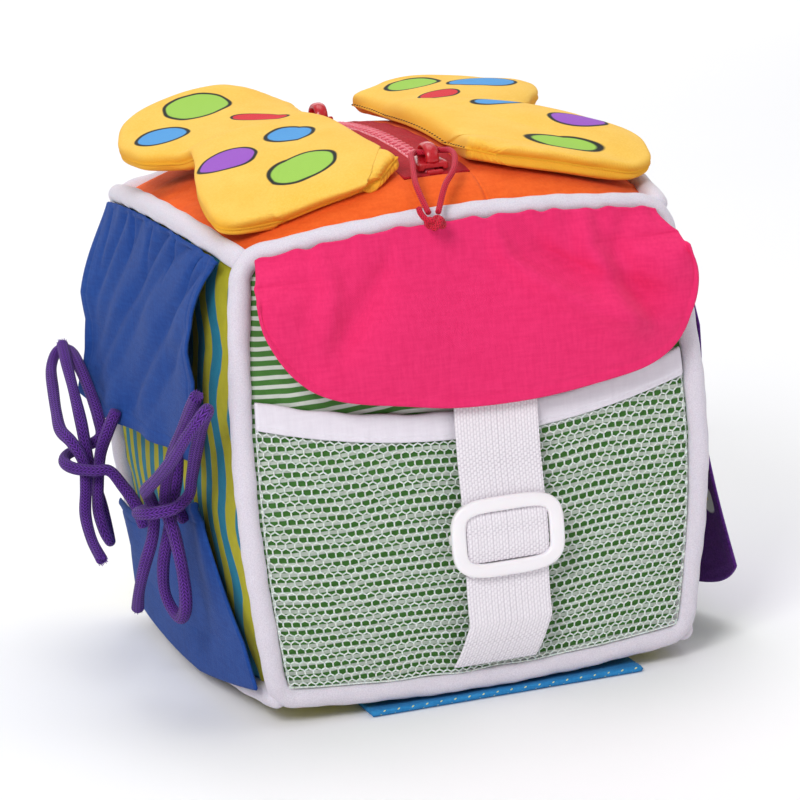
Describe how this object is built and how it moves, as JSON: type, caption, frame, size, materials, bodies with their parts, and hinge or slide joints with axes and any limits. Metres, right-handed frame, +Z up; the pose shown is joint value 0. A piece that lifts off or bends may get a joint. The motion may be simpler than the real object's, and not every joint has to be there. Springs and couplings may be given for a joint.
{
  "type": "soft activity cube",
  "caption": "Stuffed cloth cube with a different fastening on each side: zip, net pocket, strap with slide, tied flaps and lift-up flaps.",
  "frame": {"origin": "on the surface that the cube stands on, under the middle of the cube", "axes": "+Z up, -Y out of the face with the net pocket, +X towards the side with the hanging flap"},
  "size_m": [0.2234, 0.2008, 0.2016],
  "materials": {
    "white_fleece": "looped fleece",
    "green_stripe": "woven stripe, green and white",
    "teal_wave": "woven wavy stripe, teal and lime",
    "orange_cloth": "plain woven",
    "lime_cloth": "plain woven",
    "yellow_print": "plain woven with printed spots",
    "pink_cloth": "plain woven",
    "blue_cloth": "plain woven",
    "violet_print": "plain woven with printed petals",
    "sky_cloth": "plain woven, stitched edge",
    "white_net": "open knitted net",
    "white_binding": "plain woven tape",
    "white_webbing": "woven webbing",
    "white_moulding": "smooth moulded",
    "red_tape": "woven zip tape",
    "red_moulding": "smooth moulded",
    "red_cord": "braided",
    "red_lining": "plain woven",
    "purple_cord": "braided",
    "wadding": "loose fibre"
  },
  "bodies": {
    "cube": {"filling_core": "wadding", "front_panel": "green_stripe", "back_panel": "lime_cloth", "left_panel": "teal_wave", "right_panel": "teal_wave", "bottom_panel": "lime_cloth", "top_panel": "orange_cloth", "front_piping": "white_fleece", "back_piping": "white_fleece", "top_left_piping": "white_fleece", "top_right_piping": "white_fleece", "bottom_left_piping": "white_fleece", "bottom_right_piping": "white_fleece", "zip_tape_left": "red_tape", "zip_tape_right": "red_tape", "zip_teeth_left": "red_moulding", "zip_teeth_right": "red_moulding", "zip_front_stop": "red_moulding", "zip_rear_stop": "red_moulding", "zip_bag": "red_lining", "pocket_net": "white_net", "pocket_binding": "white_binding", "strap_webbing": "white_webbing", "front_flap_heading": "pink_cloth"},
    "front_flap": {"front_flap": "pink_cloth"},
    "strap_slide": {"strap_slide": "white_moulding"},
    "zip_slider_front": {"zip_slider_front": "red_moulding"},
    "zip_slider_rear": {"zip_slider_rear": "red_moulding"},
    "zip_pull_hitch": {"zip_pull_bight": "red_cord"},
    "zip_pull": {"zip_pull_left_strand": "red_cord", "zip_pull_right_strand": "red_cord", "zip_pull_knot": "red_cord"},
    "left_wing": {"left_wing": "yellow_print"},
    "right_wing": {"right_wing": "yellow_print"},
    "side_upper_flap": {"side_upper_flap": "blue_cloth", "front_tie_upper_cord": "purple_cord", "front_tie_lower_cord": "purple_cord", "rear_tie_upper_cord": "purple_cord", "rear_tie_lower_cord": "purple_cord"},
    "side_lower_flap": {"side_lower_flap": "blue_cloth"},
    "right_flap": {"right_flap": "violet_print"},
    "bottom_flap": {"bottom_flap": "sky_cloth"}
  },
  "joints": [
    {"name": "front_flap_hinge", "type": "hinge", "parent": "cube", "child": "front_flap", "pos_m": [0, -0.09617, 0.156], "axis": [-1, 0, 0], "range_deg": [0, 75]},
    {"name": "strap_slide_travel", "type": "slide", "parent": "cube", "child": "strap_slide", "axis": [0, 0, 1], "range_m": [-0.012, 0.016]},
    {"name": "zip_slider_front_travel", "type": "hinge", "parent": "cube", "child": "zip_slider_front", "pos_m": [0, 0, -0.22723], "axis": [-1, 0, 0], "range_deg": [0, 7.6]},
    {"name": "zip_slider_rear_travel", "type": "hinge", "parent": "cube", "child": "zip_slider_rear", "pos_m": [0, 0, -0.22723], "axis": [1, 0, 0], "range_deg": [0, 7.6]},
    {"name": "zip_pull_hitch_turn", "type": "hinge", "parent": "zip_slider_front", "child": "zip_pull_hitch", "pos_m": [0, -0.0626, 0.18907], "axis": [-0.9117, 0.13, 0.3899], "range_deg": [0, 33.6]},
    {"name": "zip_pull_swing", "type": "hinge", "parent": "zip_pull_hitch", "child": "zip_pull", "pos_m": [0, -0.0626, 0.18907], "axis": [-1, 0, 0], "range_deg": [0, 95]},
    {"name": "left_wing_hinge", "type": "hinge", "parent": "cube", "child": "left_wing", "pos_m": [-0.0125, 0, 0.18975], "axis": [0, 1, 0], "range_deg": [0, 65]},
    {"name": "right_wing_hinge", "type": "hinge", "parent": "cube", "child": "right_wing", "pos_m": [0.0125, 0, 0.18975], "axis": [0, -1, 0], "range_deg": [0, 65]},
    {"name": "side_upper_flap_hinge", "type": "hinge", "parent": "cube", "child": "side_upper_flap", "pos_m": [-0.08499, 0, 0.1668], "axis": [0, 1, 0], "range_deg": [0, 75]},
    {"name": "side_lower_flap_hinge", "type": "hinge", "parent": "cube", "child": "side_lower_flap", "pos_m": [-0.0847, 0, 0.0049], "axis": [0, -1, 0], "range_deg": [0, 75]},
    {"name": "right_flap_hinge", "type": "hinge", "parent": "cube", "child": "right_flap", "pos_m": [0.08499, 0, 0.1668], "axis": [0, -1, 0], "range_deg": [0, 90]},
    {"name": "bottom_flap_hinge", "type": "hinge", "parent": "cube", "child": "bottom_flap", "pos_m": [0, 0.056, 0.002], "axis": [1, 0, 0], "range_deg": [0, 90]}
  ],
  "couplings": [
    {"joint": "zip_pull_hitch_turn", "follows": "zip_slider_front_travel", "ratio": 4.421},
    {"joint": "side_lower_flap_hinge", "follows": "side_upper_flap_hinge", "ratio": 1}
  ]
}
